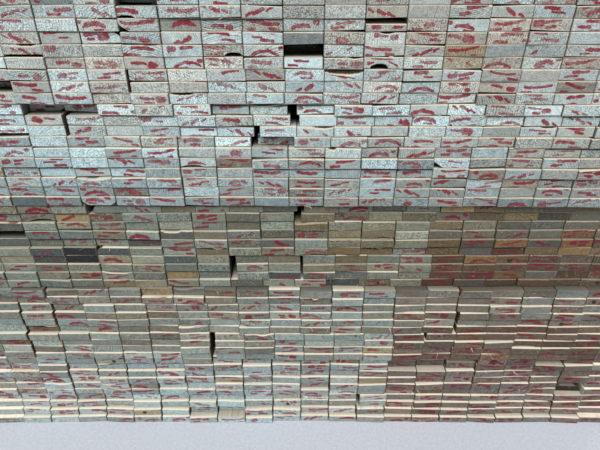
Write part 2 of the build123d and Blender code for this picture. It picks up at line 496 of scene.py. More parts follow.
def tear(stack, surface, kind, share):
    """Wear pieces away from the front ends of the torn boards.

    A loss is as deep as a half ellipse over its width and runs out along the board. Where the
    table has none, its middle, half width and depth are drawn. Every torn board also has a ragged
    edge on that face: a sum of sines of the place across, where it is over nothing.
    """
    ragged = 0.35
    source = np.random.default_rng(SEEDS.tears)
    across, up = kind.ring[:, 0], kind.ring[:, 1]
    place = across * HALF_WIDTH
    torn = {(row_of(tier, course), column - 1): rest for tier, course, column, *rest in TORN}
    for board in np.flatnonzero(stack.torn):
        where = stack.course[board], stack.column[board]
        rise, *losses = torn.get(where, (source.choice((-1, 1)),))
        if not losses:
            losses = [(source.uniform(-22, 22), source.uniform(6, 20), source.uniform(1.5, 5))]
        depth = np.zeros(len(across))
        for middle, half, deep in losses:
            inside = np.maximum(0, 1 - ((place - middle) / half) ** 2)
            depth = np.maximum(depth, deep * np.sqrt(inside))
        waves = sum(
            np.sin(place * source.uniform(0.3, 1.6) + source.uniform(0, 6)) for _ in range(4)
        )
        depth = (depth + np.maximum(0, waves) * ragged) * (up == rise) * MM
        away = np.maximum(0, 1 - share[board] * BOARD_LENGTH / source.uniform(40, 120)) ** 1.4
        surface[board, ..., 2] -= rise * depth * away[:, None]


def tube_faces(count, stations, points):
    """Return the faces' corners and sizes of some like tubes, each a quad between every pair of
    stations and ring points and then its two ends."""
    station, point = np.mgrid[0 : stations - 1, 0:points]
    after = (point + 1) % points
    here, there = station * points, (station + 1) * points
    quads = np.stack([here + point, there + point, there + after, here + after], axis=-1)
    first = np.arange(points)
    last = (stations - 1) * points + first[::-1]
    corners = np.concatenate([quads.ravel(), first, last])
    starts = np.arange(count)[:, None] * stations * points
    sizes = np.append(np.full(quads.size // 4, 4), (points, points))
    return corners + starts, np.tile(sizes, (count, 1))


def in_batch(stack):
    """Return 1 for the boards of the brown batch and 0 for others, with an ease at its edge."""
    return np.clip((stack.x - by_tier(stack, BATCH_EDGE)) / BATCH_EASE + 0.5, 0, 1)


def end_colours(stack, draw):
    """Return each board's end colour: between its tier's cool and warm ones, paler or darker.

    The mix drifts slowly over the wall as a sum of sines, and each board adds its own share. Past
    the batch's edge the colour eases to its tint.
    """
    cool = by_tier(stack, [linear(*colour) for colour in COOL_ENDS])
    warm = by_tier(stack, [linear(*colour) for colour in WARM_ENDS])
    x, base, edge = stack.x, stack.base, in_batch(stack)
    drift = 0.12 * np.sin(9 * x + 14 * base) + 0.1 * np.sin(5 * x - 13 * base + 1)
    drift = drift + by_tier(stack, SIDE_WARMTH) * x + by_tier(stack, BATCH_WARMTH) * edge
    warmth = np.clip(draw.source.beta(1.9, 2.1, stack.count) + drift, 0, 1)[:, None]
    uneven = draw.around(0, 1) * by_tier(stack, TIER_UNEVEN)
    tone = np.exp(uneven + by_tier(stack, SIDE_TONE) * x)
    tone = tone * np.interp(stack.course, TONED, TONES)
    batch = edge * np.interp(stack.course, BATCHED, BATCH_SHARE)
    tint = 1 - batch[:, None] * (1 - np.array(BATCH_TINT))
    return (cool * (1 - warmth) + warm * warmth) * tone[:, None] * tint


def stains(stack, draw):
    """Return each board's stain colour and strength: by chance, or as the table has it."""
    colours, shares = zip(*CHANCE_STAINS)
    kinds = np.array([linear(*colour) for colour in colours])
    kind = draw.source.choice(len(kinds), stack.count, p=shares)
    strength = draw.between(0.3, 0.75) * (draw.between(0, 1) < by_tier(stack, TIER_STAINED))
    found = np.concatenate([kinds[kind], strength[:, None]], axis=1)
    for course, column, strength, colour in STAINED:
        found[is_board(stack, STAINED_TIER, course, column)] = (*linear(*colour), strength)
    return found


def stroke_places(stack, looks, draw):
    """Return the strokes on each front end: whether they are there, their middle, turn, half
    length, bend and fineness.

    A fineness is two over half the width, so a stroke reaches as far as 2 on its own scale.
    """
    marked = draw.between(0, 1) < looks.marked_share * by_tier(stack, TIER_MARKED)
    kind = draw.source.integers(0, len(MARKS), stack.count)
    marks = np.array(MARKS)[kind]
    mirror = draw.source.choice((-1, 1), (stack.count, 1))[:, 0]
    turn = (np.array(MARK_TURNS)[kind] + draw.around(0, 0.08)) * mirror
    shift_x, shift_z = draw.between(-9, 9), draw.between(-4, 4)
    strokes = []
    for number, often in enumerate(STROKE_SHARES):
        x, z, half, wide, bend = marks[:, number].T
        on = marked & draw.happens(often)
        x = x * mirror + shift_x + draw.around(0, 0.8)
        z = z + shift_z + draw.around(0, 0.5)
        half = half * draw.between(0.7, 1.25)
        strokes.append((on, x, z, turn, half, bend, 2 / (wide * draw.between(0.75, 1.2))))
    return strokes


def hollow_depths(stack):
    """Return how far each board lies behind its course's middle one, and the shade of its upper
    face as a depth too.

    The first 3 mm don't count. Under a hollow the upper face lies in shade, and under a very deep
    one the whole board does. The third tier shades most boards that it lies on.
    """
    least, hollow, very_deep = 3 * MM, 6 * MM, 60 * MM
    face_shade, board_shade, tier_shade, tier_share = 6 * MM, 40 * MM, 24 * MM, 0.85
    every = range(len(COURSES))
    middles = np.array([np.median(stack.front[stack.course == course]) for course in every])
    sunk = np.maximum(0, stack.front - middles[stack.course] - least)
    shaded = np.zeros(stack.count)
    for deep in np.flatnonzero(sunk > hollow):
        near = np.abs(stack.left - stack.left[deep]) < HALF_WIDTH * MM
        below = near & (stack.course == stack.course[deep] - 1)
        shaded[below] = face_shade
        sunk[below] += board_shade * (sunk[deep] > very_deep)
    # Painted shade: most upper faces of the course under the third tier count as deep.
    tier_shaded = np.random.default_rng(SEEDS.shade).random(stack.count) < tier_share
    shaded[tier_shaded & (stack.course == row_of(3, 0))] = tier_shade
    return sunk, shaded


def overhangs(stack):
    """Return how far the nearest board of the course above stands out past each front end."""
    found = np.zeros(stack.count)
    for course in range(len(COURSES) - 1):
        here, above = (np.flatnonzero(stack.course == row) for row in (course, course + 1))
        nearest = np.abs(stack.x[here][:, None] - stack.x[above]).argmin(axis=1)
        found[here] = stack.front[here] - stack.front[above[nearest]]
    return np.clip(found, 0, 8 * MM)


def spread(values, shape):
    """Give each board's values to all its corners, in the shape of the corners' array."""
    values = np.asarray(values, dtype=float)
    return np.broadcast_to(values.reshape(len(values), 1, 1, -1), (*shape, values[0].size))


def face_values(stack, draw, share, kind):
    """Return how far each corner is on a side or an end, its board's chance, its depth in the
    stack and how grey it is.

    The depth is the way in from the nearer end, nothing on the stack's own sides and a little on
    its top, plus the depth of a hollow and the shade in it. Near the front, the boards of the
    third tier and of the course under it take on the grey of their ends: all those of the batch
    and half the others.
    """
    across, up, _, in_z, turn = kind.ring.T
    narrow = (np.abs(across) == 1) & ((in_z != 0) | (np.abs(up) < 1))
    upper = turn.astype(int) == UPPER
    outermost = ((stack.column == 0) | stack.last)[:, None, None]
    open_top = (stack.course == len(COURSES) - 1)[:, None, None] & upper
    length = (stack.back_left - stack.front_left)[:, None, None]
    sunk, shaded = hollow_depths(stack)
    # The depth darkens the faces in the materials: painted shade in the gaps and hollows.
    depth = np.minimum(share, 1 - share)[..., None] * length * ~(outermost | open_top)
    depth = depth + open_top * 5 * MM
    depth = depth + sunk[:, None, None] * (share < 0.5)[..., None]
    depth = depth + shaded[:, None, None] * upper
    grey = draw.between(0.05, 0.5) * by_tier(stack, TIER_GREY)
    # Near the front, the long faces of the third tier and the course under it turn as grey as their
    # ends.
    half, grey_strength, front = 0.5, 0.8, 0.03
    greyed_half = np.random.default_rng(SEEDS.grey_fronts).random(stack.count) < half
    open_courses = (stack.course >= row_of(3, 0)) & (stack.course < row_of(4, 1))
    greyed_front = grey_strength * np.maximum(in_batch(stack), greyed_half) * open_courses
    grey = np.maximum(grey[:, None, None], greyed_front[:, None, None] * (share < front)[..., None])
    # The sides take the dark narrow-face colour as painted shade of the gaps, less on the stack's
    # outermost sides, and so do the worn edges at the ends.
    side = np.maximum(narrow * (1 - 0.55 * outermost), kind.at_end[:, None] * 0.85)
    chance = draw.between(0, 1)[:, None, None]
    return np.stack(np.broadcast_arrays(side, chance, depth, grey), axis=-1)


def stroke_values(stack, looks, draw, local, at_front):
    """Return the values of every stroke: the places along and across it, its half length and its
    bend.

    The places are linear in X and Z, so they hold exactly between the corners of an end.
    """
    x, z = local[..., 0] / MM, local[..., 2] / MM
    found = {}
    for number, stroke in enumerate(stroke_places(stack, looks, draw)):
        on, x0, z0, turn, half, bend, fine = (spread(each, x.shape)[..., 0] for each in stroke)
        fine = fine / looks.paint_load
        away = (1 - on * at_front) * FAR_OFF
        along = ((x - x0) * np.cos(turn) + (z - z0) * np.sin(turn)) * fine + away
        beside = ((z - z0) * np.cos(turn) - (x - x0) * np.sin(turn)) * fine + away
        found[f"stroke_{number}"] = np.stack([along, beside, half * fine, bend / fine], axis=-1)
    return found


def knot_values(stack, draw, local, at_front):
    """Return the place from the middle of the knot on an end and that knot's radius, all in mm,
    and how far the board above stands out past the end."""
    knots = np.tile((FAR_OFF, FAR_OFF, 1.0), (stack.count, 1))
    few = draw.happens(KNOT_SHARE)
    chance = np.stack([draw.between(-24, 24), draw.between(-5, 5), draw.between(2.5, 6)], axis=1)
    knots[few] = chance[few]
    for tier, course, column, *knot in END_KNOTS:
        knots[is_board(stack, tier, course, column)] = knot
    x, z = local[..., 0] / MM, local[..., 2] / MM
    x0, z0, radius, out = (
        spread(each, x.shape)[..., 0] for each in (*knots.T, overhangs(stack))
    )
    return np.stack([x - x0 + (1 - at_front) * FAR_OFF, z - z0, radius, out * at_front], axis=-1)


def board_attributes(stack, looks, surface, bare, share, kind):
    """Return the named values that the materials read, one per corner of every board.

    board_place is the place from the middle of the board's front end, and log_place the place in
    the log that the board was sawn from, so the growth rings are circles round its Y axis. grain
    holds the rings per metre, their contrast and a number of the board's own.
    """
    draw = Random(SEEDS.finish, stack.count)
    shape = surface.shape[:3]
    local = surface - np.stack([stack.x, stack.front, stack.z], axis=1)[:, None, None]
    at_front = (share < 0.5)[:, :, None]
    angle = draw.between(-math.pi, math.pi)
    away = draw.between(18, 120) * MM
    pith = np.stack([np.cos(angle) * away * 1.1, away * 0, np.sin(angle) * away], axis=1)
    spacing = looks.ring_spacing * draw.between(0.6, 1.35)
    contrast, own = draw.source.beta(1.2, 2.0, stack.count), draw.between(0, 90)
    values = {
        "log_place": local - pith[:, None, None],
        "grain": spread(np.stack([1 / spacing, contrast, own], axis=1), shape),
        "board_place": local,
        "face": face_values(stack, draw, share, kind),
    }
    ends = spread(end_colours(stack, draw), shape)
    values["end_colour"] = np.concatenate([ends, bare[..., None]], axis=-1)
    values["stain"] = spread(stains(stack, draw), shape)
    values.update(stroke_values(stack, looks, draw, local, at_front))
    values["knot"] = knot_values(stack, draw, local, at_front)
    return values


def splinters(stack):
    """Return torn fibres at the front ends' edges, as their boards and their corners.

    A splinter is a bent spike of three edges: its middle line leaves the board's lower or upper
    edge and bends down, and its width shrinks in a straight line to nearly nothing at the tip.
    """
    edge, root, shortest, longest, clear = 8.4 * MM, 0.6 * MM, 4 * MM, 15 * MM, 0.1 * MM
    source = np.random.default_rng(SEEDS.fibres)
    board = np.sort(source.integers(0, stack.count, SPLINTERS))
    rise = source.choice((-1.0, -1.0, 1.0), SPLINTERS)
    across = source.uniform(0.06, 0.94, SPLINTERS)
    x = stack.left[board] * (1 - across) + stack.right[board] * across
    y = stack.front_left[board] * (1 - across) + stack.front_right[board] * across + root
    z = stack.z[board] + rise * (edge - source.uniform(0, 3 * MM, SPLINTERS) * (rise > 0))
    long = source.uniform(shortest, longest, SPLINTERS)
    way = np.stack([
        source.normal(0, 0.8, SPLINTERS), -source.uniform(0.25, 0.9, SPLINTERS),
        source.uniform(-0.7, 0.15, SPLINTERS),
    ], axis=1)
    way /= np.linalg.norm(way, axis=1, keepdims=True)
    step = np.linspace(0, 1, 4)
    line = np.stack([x, y, z], axis=1)[:, None] + way[:, None] * long[:, None, None] * step[:, None]
    line[..., 2] -= (long * source.uniform(0.05, 0.3, SPLINTERS))[:, None] * step**2
    width = source.uniform(0.4, 0.9, SPLINTERS)[:, None] * (1 - 0.9 * step) * MM
    turn = np.radians((90, 210, 330))
    edges = np.stack([np.cos(turn), 0.4 * np.cos(turn), np.sin(turn)], axis=1)
    surface = line[:, :, None] + edges * width[..., None, None]
    surface[..., 1] = np.maximum(surface[..., 1], CAD_BOX[0].y + clear)
    surface[..., 2] = np.maximum(surface[..., 2], clear)
    return board, surface


# How much of their part of the map the strips fill. The splinters lie in the rest.
STRIPS_FILL = 0.98


def strip_height(stack, rows):
    """Return how much of a course's map its strips fill: the top course shows its upper faces."""
    return 0.65 if stack.course[rows[0]] == len(COURSES) - 1 else 0.34


def bake_map(stack, rows, kind, along):
    """Return the map places of some boards of one course, which all share one map.

    Sawn ends fill cells in the map's upper part, 4 front ends a row and 6 back ends. Below them
    each board has a strip as high as its girth, where a face that its neighbours hide counts for
    little. Along a strip the parts near the ends are stretched.
    """
    ring, course = kind.ring, stack.course[rows[0]]
    total, cells = (stack.course == course).sum(), stack.column[rows]
    floor = strip_height(stack, rows)
    x, z = (ring[:, 0] + 1) / 2, (ring[:, 1] + 1) / 2

    def ends(columns, low, high):
        """Return the places of the ends in a block of cells, each smaller than its cell."""
        wide, tall = 1 / columns, (high - low) / math.ceil(total / columns)
        u = ((cells % columns)[:, None] + 0.04 + 0.92 * x) * wide
        v = low + ((cells // columns)[:, None] + 0.06 + 0.88 * z) * tall
        return np.stack([u, v], axis=-1)

    split = floor + 0.3 * (1 - floor)
    fronts, backs = ends(4, split, 1.0), ends(6, floor, split)
    broad, narrow, between, bottom, top, outer = 8.0, 3.0, 2, 20, 60, 40
    seen = np.tile((broad, narrow, broad, narrow), (total, 1))
    seen[:, UPPER] += top * (course == len(COURSES) - 1)
    seen[:, 0] += bottom * (course == 0)
    seen[0, 3] += outer
    seen[-1, 1] += outer
    edges = np.concatenate([np.zeros((total, 1)), np.cumsum(seen, axis=1)], axis=1)
    starts = np.concatenate([[0], np.cumsum(edges[:-1, -1] + between)])
    edges = ((edges + starts[:, None]) / (starts[-1] + edges[-1, -1]) * floor * STRIPS_FILL)[cells]
    turn = np.append(ring[:, 4], 4.0)
    face = np.minimum(turn.astype(int), 3)
    v = edges[:, face] + (edges[:, face + 1] - edges[:, face]) * (turn - face)
    stretch = 0.42
    u = np.where(along < 0.5, (along * 2) ** stretch, 2 - (2 - along * 2) ** stretch) / 2
    return fronts, backs, u, v


def course_part(stack, rows, look):
    """Return some boards of one course as corner places, faces, finishes, map places and values."""
    surface = look.surface[rows]
    count, stations, points = surface.shape[:3]
    corners, sizes = tube_faces(count, stations, points)
    slots = np.zeros(sizes.shape, dtype=int)
    slots[:, -2:] = 1
    along = look.share[rows].mean(axis=0)
    fronts, backs, u, v = bake_map(stack, rows, look, along)
    station, point = np.mgrid[0 : stations - 1, 0:points]
    u = np.stack([u[station], u[station + 1], u[station + 1], u[station]], axis=-1)
    v = np.stack([v[:, point], v[:, point], v[:, point + 1], v[:, point + 1]], axis=-1)
    strips = np.stack(np.broadcast_arrays(u, v), axis=-1).reshape(count, -1, 2)
    return SimpleNamespace(
        places=surface.reshape(-1, 3), corners=corners, sizes=sizes, slots=slots,
        maps=np.concatenate([strips, fronts, backs[:, ::-1]], axis=1),
        values={
            key: value[rows].reshape(-1, value.shape[-1]) for key, value in look.values.items()
        },
    )


def splinter_part(stack, rows):
    """Return the splinters of one course in the same way, with the values of their boards."""
    chosen = np.isin(stack.splinters[0], rows)
    board, surface = stack.splinters[0][chosen], stack.splinters[1][chosen]
    count, stations, points = surface.shape[:3]
    corners, sizes = tube_faces(count, stations, points)
    corner, _ = tube_faces(1, stations, points)
    u = (np.arange(count)[:, None] + 0.1 + 0.8 * (corner // points) / stations) / max(count, 1)
    above, step = 0.004, 0.006
    v = strip_height(stack, rows) * (STRIPS_FILL + above + step * (corner % points))
    values = {
        key: np.repeat(value[board, 1, 0], stations * points, axis=0)
        for key, value in SOUND.values.items()
    }
    values["log_place"] = values["log_place"] + surface.reshape(-1, 3) * (0, 1, 0)
    return SimpleNamespace(
        places=surface.reshape(-1, 3), corners=corners, sizes=sizes, slots=sizes * 0,
        maps=np.stack(np.broadcast_arrays(u, v), axis=-1), values=values,
    )


def course_mesh(name, stack, rows):
    """Make the mesh of one course from its sound boards, its worn boards and its splinters."""
    fine = stack.fine[rows]
    parts = [
        course_part(stack, chosen, look)
        for chosen, look in ((rows[~fine], SOUND), (rows[fine], FINE))
        if len(chosen)
    ]
    parts.append(splinter_part(stack, rows))
    starts = np.cumsum([0] + [len(part.places) for part in parts])

    def joined(key):
        """Return one kind of array of all the parts in a row."""
        return np.concatenate([getattr(part, key).ravel() for part in parts])

    mesh = bpy.data.meshes.new(name)
    mesh.vertices.add(starts[-1])
    mesh.vertices.foreach_set("co", joined("places"))
    corners = np.concatenate([part.corners.ravel() + start for part, start in zip(parts, starts)])
    mesh.loops.add(len(corners))
    mesh.loops.foreach_set("vertex_index", corners)
    sizes = joined("sizes")
    mesh.polygons.add(len(sizes))
    mesh.polygons.foreach_set("loop_start", np.cumsum(sizes) - sizes)
    mesh.polygons.foreach_set("material_index", joined("slots"))
    for key in SOUND.values:
        value = np.concatenate([part.values[key] for part in parts])
        three = value.shape[1] == 3
        layer = mesh.attributes.new(key, "FLOAT_VECTOR" if three else "FLOAT_COLOR", "POINT")
        layer.data.foreach_set("vector" if three else "color", value.ravel())
    mesh.uv_layers.new(name="OFBake").data.foreach_set("uv", joined("maps"))
    mesh.update(calc_edges=True)
    mesh.shade_flat()
    return mesh


class Value:
    """A node's output. Arithmetic on it adds Math nodes."""

    def __init__(self, shade, socket):
        self.shade, self.socket = shade, socket

    def maths(self, operation, *others):
        """Return a Math node of this value and the others."""
        return self.shade.maths(operation, self, *others)

    def __add__(self, other):
        return self.maths("ADD", other)

    def __sub__(self, other):
        return self.maths("SUBTRACT", other)

    def __rsub__(self, other):
        return self.shade.maths("SUBTRACT", other, self)

    def __mul__(self, other):
        return self.maths("MULTIPLY", other)

    def __truediv__(self, other):
        return self.maths("DIVIDE", other)

    def __pow__(self, other):
        return self.maths("POWER", other)

    def __abs__(self):
        return self.maths("ABSOLUTE")

    __radd__, __rmul__ = __add__, __mul__


class Shade:
    """The nodes of a material or of the world."""

    def __init__(self, owner):
        self.owner = owner
        owner.use_nodes = True
        self.tree = owner.node_tree
        self.tree.nodes.clear()

    def node(self, kind, settings=None, inputs=None, output=0):
        """Add a node, set it, fill its sockets with values or links and return one of its outputs,
        or all of them where output is None or it has none."""
        made = self.tree.nodes.new(kind)
        for key, value in (settings or {}).items():
            setattr(made, key, value)
        for key, value in (inputs or {}).items():
            if isinstance(value, Value):
                self.tree.links.new(value.socket, made.inputs[key])
            else:
                made.inputs[key].default_value = value
        if output is None or not made.outputs:
            return [Value(self, socket) for socket in made.outputs]
        return Value(self, made.outputs[output])

    def maths(self, operation, *values):
        """Return a Math node of some values."""
        return self.node("ShaderNodeMath", {"operation": operation}, dict(enumerate(values)))

    def attribute(self, name, output="Vector"):
        """Return a named value of the mesh."""
        return self.node("ShaderNodeAttribute", {"attribute_name": name}, output=output)

    def parts(self, vector):
        """Return the three numbers of a vector."""
        return self.node("ShaderNodeSeparateXYZ", inputs={0: vector}, output=None)

    def vector(self, x, y, z):
        """Return a vector of three numbers."""
        return self.node("ShaderNodeCombineXYZ", inputs={0: x, 1: y, 2: z})

    def chance(self, seed, factor):
        """Return another number from 0 to 1 of the board that a seed belongs to."""
        return (seed * factor).maths("FRACT")

    def noise(self, place, scale, detail=2.0, roughness=0.5):
        """Return smooth noise from 0 to 1, with the scale as its waves per metre."""
        return self.node("ShaderNodeTexNoise", inputs={
            "Vector": place, "Scale": scale, "Detail": detail, "Roughness": roughness,
        })

    def ramp(self, value, low, high, to_low=0.0, to_high=1.0):
        """Return the value eased from one range to another."""
        return self.node("ShaderNodeMapRange", {"interpolation_type": "SMOOTHSTEP"}, {
            "Value": value, "From Min": low, "From Max": high, "To Min": to_low, "To Max": to_high,
        })

    def mixed(self, factor, first, second):
        """Return the first colour turning into the second one."""
        return self.node(
            "ShaderNodeMix", {"data_type": "RGBA"}, {0: factor, 6: first, 7: second}, output=2
        )

    def scaled(self, colour, factor):
        """Return a colour or vector times a number."""
        inputs = {0: colour, "Scale": factor}
        return self.node("ShaderNodeVectorMath", {"operation": "SCALE"}, inputs)

    def finish(self, colour, roughness, height, relief):
        """End the material in a shader whose surface stands out by the height times the relief."""
        normal = self.node("ShaderNodeBump", inputs={
            "Strength": 1.0, "Distance": relief, "Height": height,
        })
        shader = self.node("ShaderNodeBsdfPrincipled", inputs={
            "Base Color": colour, "Roughness": roughness, "Normal": normal,
            "Specular IOR Level": 0.3,
        })
        self.node("ShaderNodeOutputMaterial", inputs={"Surface": shader})
        return self.owner


def growth_rings(shade, log_place, wander, per_metre, seed):
    """Return the dark late wood of the rings: distance from the pith, over the spacing, repeats."""
    x, _, z = shade.parts(log_place)
    radius = (x * x + z * z) ** 0.5 + (wander - 0.5) * 0.006
    year = radius * per_metre + seed
    uneven = shade.noise(shade.vector(year * 0.45, seed, 0.0), 1.0, 1.0)
    phase = (year + uneven * 1.6).maths("FRACT")
    late = shade.ramp(phase, 0.45, 0.9) - shade.ramp(phase, 0.92, 1.0)
    return late * (uneven * 1.2 + 0.3)


def end_light(shade, end):
    """Return how light the wood of a sawn end is.

    It is speckle, patches and fibres torn sideways, less the rings, times the dark lines under the
    end and at its sides, the shadow of a board that stands out over it and the shade of a hollow.
    Each of these sets in over a band: some way from the end's middle, out past it or into it.
    """
    under_from, under_to = -0.0098, -0.0084
    side_band, roof_band = (0.0305, 0.0335), (0.0078, 0.0096)
    overhang_band, hollow_band = (0.0002, 0.0018), (0.0, 0.05)
    dots = (end.speckle - 0.5) * 1.9 + (end.grain - 0.5) * 2.1
    light = 1.0 + dots * (end.rough * 1.2 + 0.5) + (end.patches - 0.5) * 0.7
    light = light + (end.torn - 0.5) * 0.6 - end.rings * 0.8
    chance = shade.chance(end.seed, 13.7)
    low = end.z + (end.patches - 0.5) * 0.002
    under = shade.ramp(low, under_from, under_to + chance * 0.0016)
    under = 1 - (1 - under) * (chance * 0.5 + 0.3)
    sides = shade.ramp(abs(end.x) + (end.torn - 0.5) * 0.002, *side_band, 1.0, 0.6)
    shadow = shade.ramp(end.z + end.roof * 0.6, *roof_band)
    shadow = shadow * shade.ramp(end.roof, *overhang_band, 0.0, 0.82)
    light = light.maths("MAXIMUM", 0.1) * under * sides * (1 - shadow)
    return light * shade.ramp(end.depth, *hollow_band, 1.0, 0.2)


def end_wood(shade, end, light):
    """Return the colour of a sawn end without its paint.

    The board's own colour is soaked with its stain in large patches. On it come a painted highlight
    along the upper edge, weaker on dark boards and where a board hangs over, pale flecks, and a
    knot.
    """
    highlight_band, overhang_band = (0.0066, 0.0088), (0.0, 0.001)
    wood = shade.scaled(end.colour, light)
    stain, _, _, strength = shade.attribute("stain", None)
    soaked = shade.noise(end.place, 34.0, 3.0, 0.55)
    stained = strength * shade.ramp(soaked + strength * 0.3, 0.38, 0.56)
    wood = shade.mixed(stained, wood, shade.scaled(stain, light))
    # Painted highlight: the upper edge of the end is paler, as if lit from above.
    highlight = shade.ramp(end.z + (end.torn - 0.5) * 0.003, *highlight_band)
    highlight = highlight * shade.ramp(end.roof, *overhang_band, 1.0, 0.0)
    highlight = highlight * shade.ramp(shade.chance(end.seed, 5.3), 0.3, 0.9, 0.1, 0.8)
    highlight = highlight * shade.ramp(end.brightness, 0.1, 0.6, 0.3, 1.0)
    wood = shade.mixed(highlight, wood, opaque(*EDGE_HIGHLIGHT))
    flecks = shade.ramp(shade.noise(end.place, 300.0, 2.0, 0.6), 0.69, 0.74)
    wood = shade.mixed(flecks * 0.7, wood, opaque(*FLECK))
    x, z, radius = shade.parts(shade.attribute("knot"))
    gap = (x * x + z * z) ** 0.5 + (end.patches - 0.5) * 4.0 - radius
    knot = 1 - shade.ramp(gap, -0.8, 0.8)
    return shade.mixed(knot * 0.92, wood, shade.scaled(linear(*END_KNOT), light))


def stroke_cover(shade, number, wobble, grit):
    """Return where a paint stroke covers the end: within 2 of its bent middle line."""
    _, places, _, bend = shade.attribute(f"stroke_{number}", None)
    along, beside, half = shade.parts(places)
    line = beside + bend * along * along + wobble
    past = (abs(along) - half).maths("MAXIMUM", 0.0)
    gap = (line * line + past * past) ** 0.5 + grit
    return 1 - shade.ramp(gap, 1.5, 2.3)


def end_paint(shade, end, light, fresh):
    """Return how the paint covers a sawn end, thinner in the speckle's pits, and its colour there:
    fresh or dulled in patches, and darker on dark boards."""
    wobble = (shade.noise(end.place, 120.0, 2.0) - 0.5) * 3.4
    grit = (end.grain - 0.5) * 1.6 + (end.speckle - 0.5) * 1.2
    cover = stroke_cover(shade, 0, wobble, grit)
    for number in range(1, len(STROKE_SHARES)):
        cover = cover.maths("MAXIMUM", stroke_cover(shade, number, wobble, grit))
    pits = end.speckle + end.patches + end.rough * 0.3
    cover = cover * shade.ramp(pits, 0.95, 1.45, 0.97, 0.55)
    paint = shade.mixed(shade.ramp(end.patches, 0.35, 0.7), (*fresh, 1.0), opaque(*DULL_PAINT))
    dimmed = (light * 0.7 + 0.3) * shade.ramp(end.brightness, 0.15, 1.05, 0.62, 0.94)
    return cover, shade.scaled(paint, dimmed)


def end_grain(looks):
    """Sawn board end: weathered grey wood, rings round the pith, rough speckle, stains, paint.

    Waves are counted per metre.
    """
    shade = Shade(bpy.data.materials.new("weathered_end_grain"))
    place = shade.attribute("board_place")
    per_metre, contrast, seed = shade.parts(shade.attribute("grain"))
    end = SimpleNamespace(seed=seed, colour=shade.attribute("end_colour", "Color"))
    end.place = shade.node("ShaderNodeVectorMath", {"operation": "ADD"}, {
        0: place, 1: shade.vector(seed, seed * 0.37, 0.0),
    })
    end.x, _, end.z = shade.parts(place)
    _, end.rough, end.depth = shade.parts(shade.attribute("face"))
    end.roof = shade.attribute("knot", "Alpha")
    red, green, blue = shade.parts(end.colour)
    end.brightness = red + green + blue
    wander = shade.noise(end.place, 28.0, 2.0)
    log_place = shade.attribute("log_place")
    end.rings = growth_rings(shade, log_place, wander, per_metre, seed) * contrast
    end.speckle = shade.noise(end.place, 900.0, 3.0, 0.7)
    end.grain = shade.noise(end.place, 460.0, 2.0, 0.6)
    end.patches = shade.noise(end.place, 95.0, 3.0, 0.6)
    sideways = shade.vector(end.x * 130.0 + seed, end.z * 620.0, seed)
    end.torn = shade.noise(sideways, 1.0, 2.0, 0.7)
    light = end_light(shade, end)
    cover, paint = end_paint(shade, end, light, looks.paint)
    colour = shade.mixed(cover, end_wood(shade, end, light), paint)
    height = end.speckle * 0.5 + end.grain * 0.7 + end.torn * 0.5 - end.rings * 0.3
    return shade.finish(colour, 0.88, height, 0.7 * MM)


def knot_gaps(shade, log_place, y, seed, fibre):
    """Return how far each place on a long face is from the nearest knot.

    Knots are branches out of the pith, so they lie at the points of a cell pattern of the turn
    round the log and the way along it. The gap is the distance on the face, more for a small knot,
    and about four cells in ten have none.
    """
    round_log, along_log, least_radius, knotless = 1.2, 1.9, 0.022, 0.62
    x, _, z = shade.parts(log_place)
    turn = z.maths("ARCTAN2", x) * round_log + seed
    along = y * along_log + seed
    _, tint, middle, *_ = shade.node("ShaderNodeTexVoronoi", {"voronoi_dimensions": "2D"}, {
        "Vector": shade.vector(turn, along, 0.0), "Scale": 1.0, "Randomness": 0.9,
    }, output=None)
    middle_turn, middle_along, _ = shade.parts(middle)
    size, kind, _ = shade.parts(tint)
    radius = ((x * x + z * z) ** 0.5).maths("MAXIMUM", least_radius)
    off_turn = (turn - middle_turn) * radius / round_log
    off_along = (along - middle_along) / along_log
    gap = (off_turn * off_turn + off_along * off_along) ** 0.5 + (fibre - 0.5) * 0.002
    return gap * (size * 1.3 + 0.5) + kind.maths("GREATER_THAN", knotless) * 0.1


